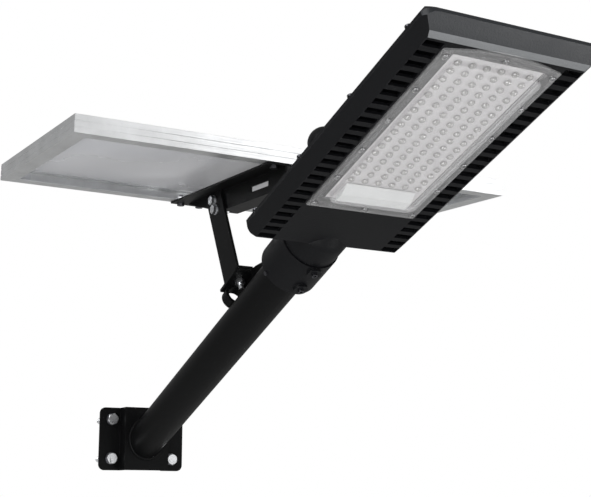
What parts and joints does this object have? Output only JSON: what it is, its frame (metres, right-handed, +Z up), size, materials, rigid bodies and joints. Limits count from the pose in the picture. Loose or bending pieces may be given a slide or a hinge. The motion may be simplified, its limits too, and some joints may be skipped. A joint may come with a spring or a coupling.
{
  "type": "solar street lamp",
  "caption": "Wall-mounted solar street lamp: a rising tube arm with a flat light head and a solar panel on a link that swivels and tilts.",
  "frame": {"origin": "centre of the four wall bolts on the bracket's back plane", "axes": "+X away from the wall, towards the light head; +Z up; Y across the wall"},
  "size_m": [1.0923, 0.667, 0.4498],
  "materials": {
    "black_paint": "satin powder coat",
    "head_paint": "fine-textured satin powder coat on a casting",
    "black_screw": "black oxide",
    "zinc": "zinc plated",
    "stainless": "bright",
    "anodised": "satin anodised",
    "bare_aluminium": "as extruded",
    "clear_plastic": "clear and glossy",
    "white_board": "white solder mask",
    "chip_yellow": "phosphor",
    "diffuser_white": "matte",
    "pad_grey": "soft",
    "black_rubber": "matt",
    "black_plastic": "matt",
    "cell_wrap": "shrink film",
    "glass": "clear toughened",
    "silicon": "dark blue",
    "white_sheet": "matt",
    "green_board": "solder mask",
    "weld": "painted over"
  },
  "bodies": {
    "lamp": {"wall_bracket": "black_paint", "anchor_bolts": "zinc", "anchor_washers": "black_screw", "arm_tube": "black_paint", "arm_weld": "weld", "swivel_seat": "black_paint", "swivel_bolt": "zinc", "swivel_nut": "zinc", "slide_washer": "black_screw", "head_housing": "head_paint", "top_cover": "head_paint", "cover_screws": "stainless", "cover_gasket": "black_rubber", "inlet_hood": "head_paint", "inlet_grommet": "black_rubber", "lens_cover": "clear_plastic", "lens_screws": "stainless", "end_diffuser": "diffuser_white", "led_board": "white_board", "led_chips": "chip_yellow", "thermal_pad": "pad_grey", "heat_sink": "bare_aluminium", "battery_tray": "bare_aluminium", "battery_cells": "cell_wrap", "battery_straps": "black_plastic", "controller_case": "black_plastic", "controller_board": "green_board", "controller_lid": "black_plastic", "led_driver": "bare_aluminium", "clamp_screws": "black_screw", "locating_screw": "black_screw"},
    "swivel": {"link_bar": "black_paint", "swivel_washer": "black_screw", "tilt_bolts": "zinc", "tilt_nuts": "zinc", "tilt_washers": "zinc"},
    "panel": {"panel_beam": "black_paint", "beam_bolts": "zinc", "beam_nuts": "zinc", "rail_front": "anodised", "rail_back": "anodised", "rail_left": "anodised", "rail_right": "anodised", "corner_keys": "bare_aluminium", "backsheet": "white_sheet", "solar_cells": "silicon", "panel_glass": "glass", "junction_box": "black_plastic", "junction_lid": "black_plastic", "junction_gland": "black_plastic"}
  },
  "joints": [
    {"name": "panel_swivel", "type": "hinge", "parent": "lamp", "child": "swivel", "pos_m": [0.39568, -0.011, 0.21508], "axis": [-0.4384, 0, 0.8988], "range_deg": [-45, 45]},
    {"name": "panel_tilt", "type": "hinge", "parent": "swivel", "child": "panel", "pos_m": [0.33431, -0.011, 0.34091], "axis": [0, 1, 0], "range_deg": [-35, 10]}
  ]
}
